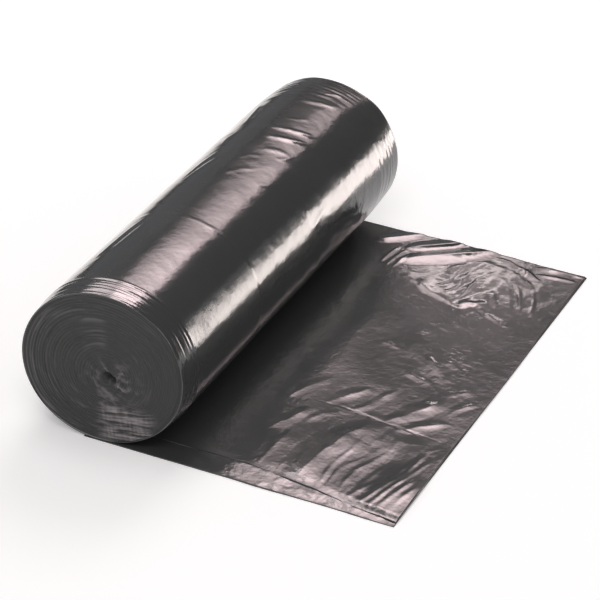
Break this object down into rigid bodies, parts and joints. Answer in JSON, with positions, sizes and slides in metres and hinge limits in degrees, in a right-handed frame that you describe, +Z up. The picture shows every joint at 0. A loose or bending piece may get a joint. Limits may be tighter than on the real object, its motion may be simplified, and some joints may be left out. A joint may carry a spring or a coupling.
{
  "type": "bin bag roll",
  "caption": "Coreless roll of folded black film refuse sacks lying on its side, with its free end pulled out flat and puckered beside it.",
  "frame": {"origin": "on the surface, straight below the roll's axis, halfway along the roll", "axes": "+Z up, Y along the roll's axis, +X the way the free end is pulled out"},
  "size_m": [0.1714, 0.229, 0.0714],
  "materials": {
    "black_film": "glossy black polyethylene film, finely wrinkled"
  },
  "bodies": {
    "root": {"bag_roll": "black_film"}
  },
  "joints": []
}
